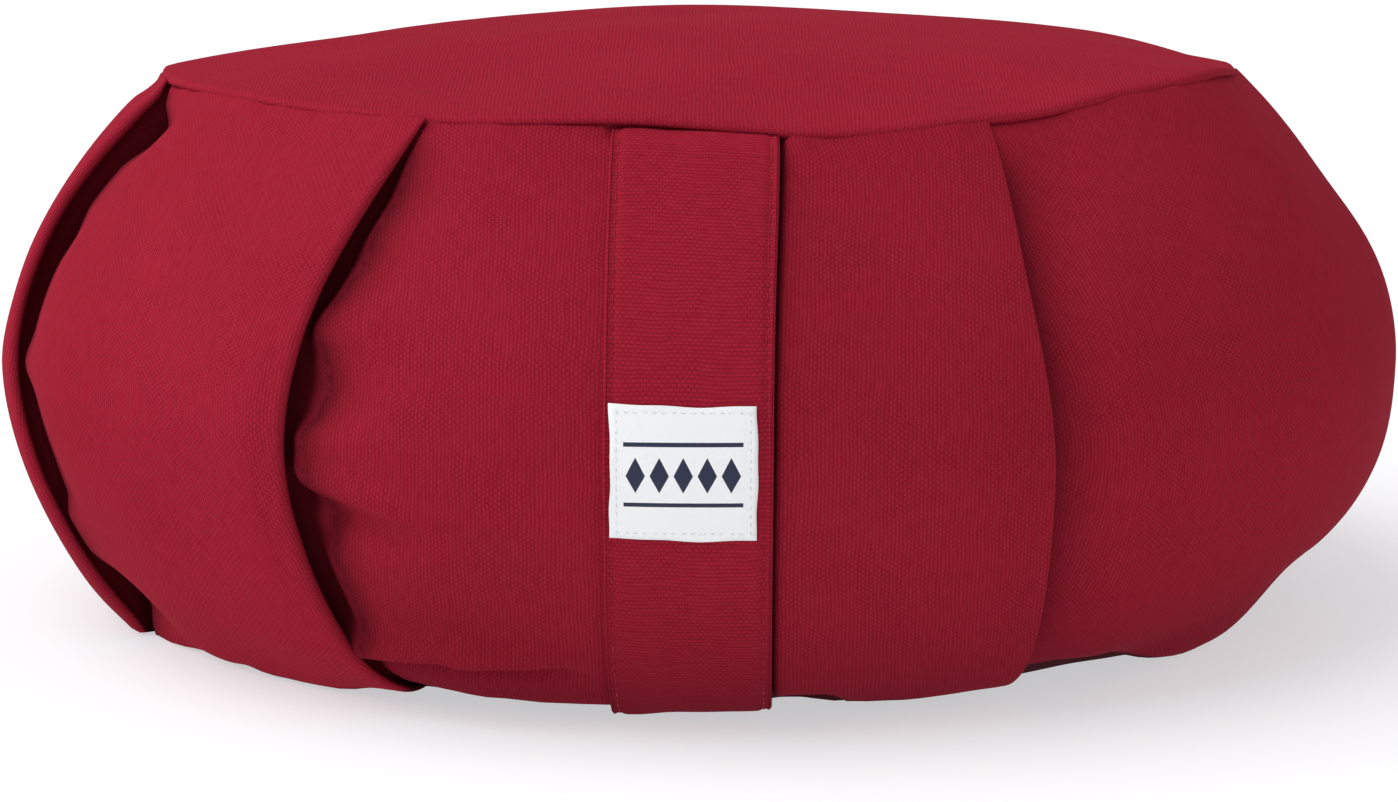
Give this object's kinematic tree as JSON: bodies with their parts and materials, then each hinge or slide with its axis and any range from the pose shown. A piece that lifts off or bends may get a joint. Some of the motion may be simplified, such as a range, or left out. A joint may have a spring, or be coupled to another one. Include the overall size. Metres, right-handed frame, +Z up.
{
  "type": "zafu meditation cushion",
  "caption": "Round filled meditation cushion with knife-pleated sides, a flat top panel, a sewn-on carrying strap and a small label.",
  "frame": {"origin": "middle of the cushion's footprint, on the surface that it stands on", "axes": "+Z up through the crown, -Y towards the side with the strap and the label"},
  "size_m": [0.3658, 0.3709, 0.1518],
  "materials": {
    "canvas": "matte red cotton duck, plain weave",
    "strap_canvas": "matte red cotton duck, doubled and top-stitched",
    "label": "white woven satin"
  },
  "bodies": {
    "root": {"cushion": "canvas", "carrying_strap": "strap_canvas", "sewn_label": "label"}
  },
  "joints": []
}
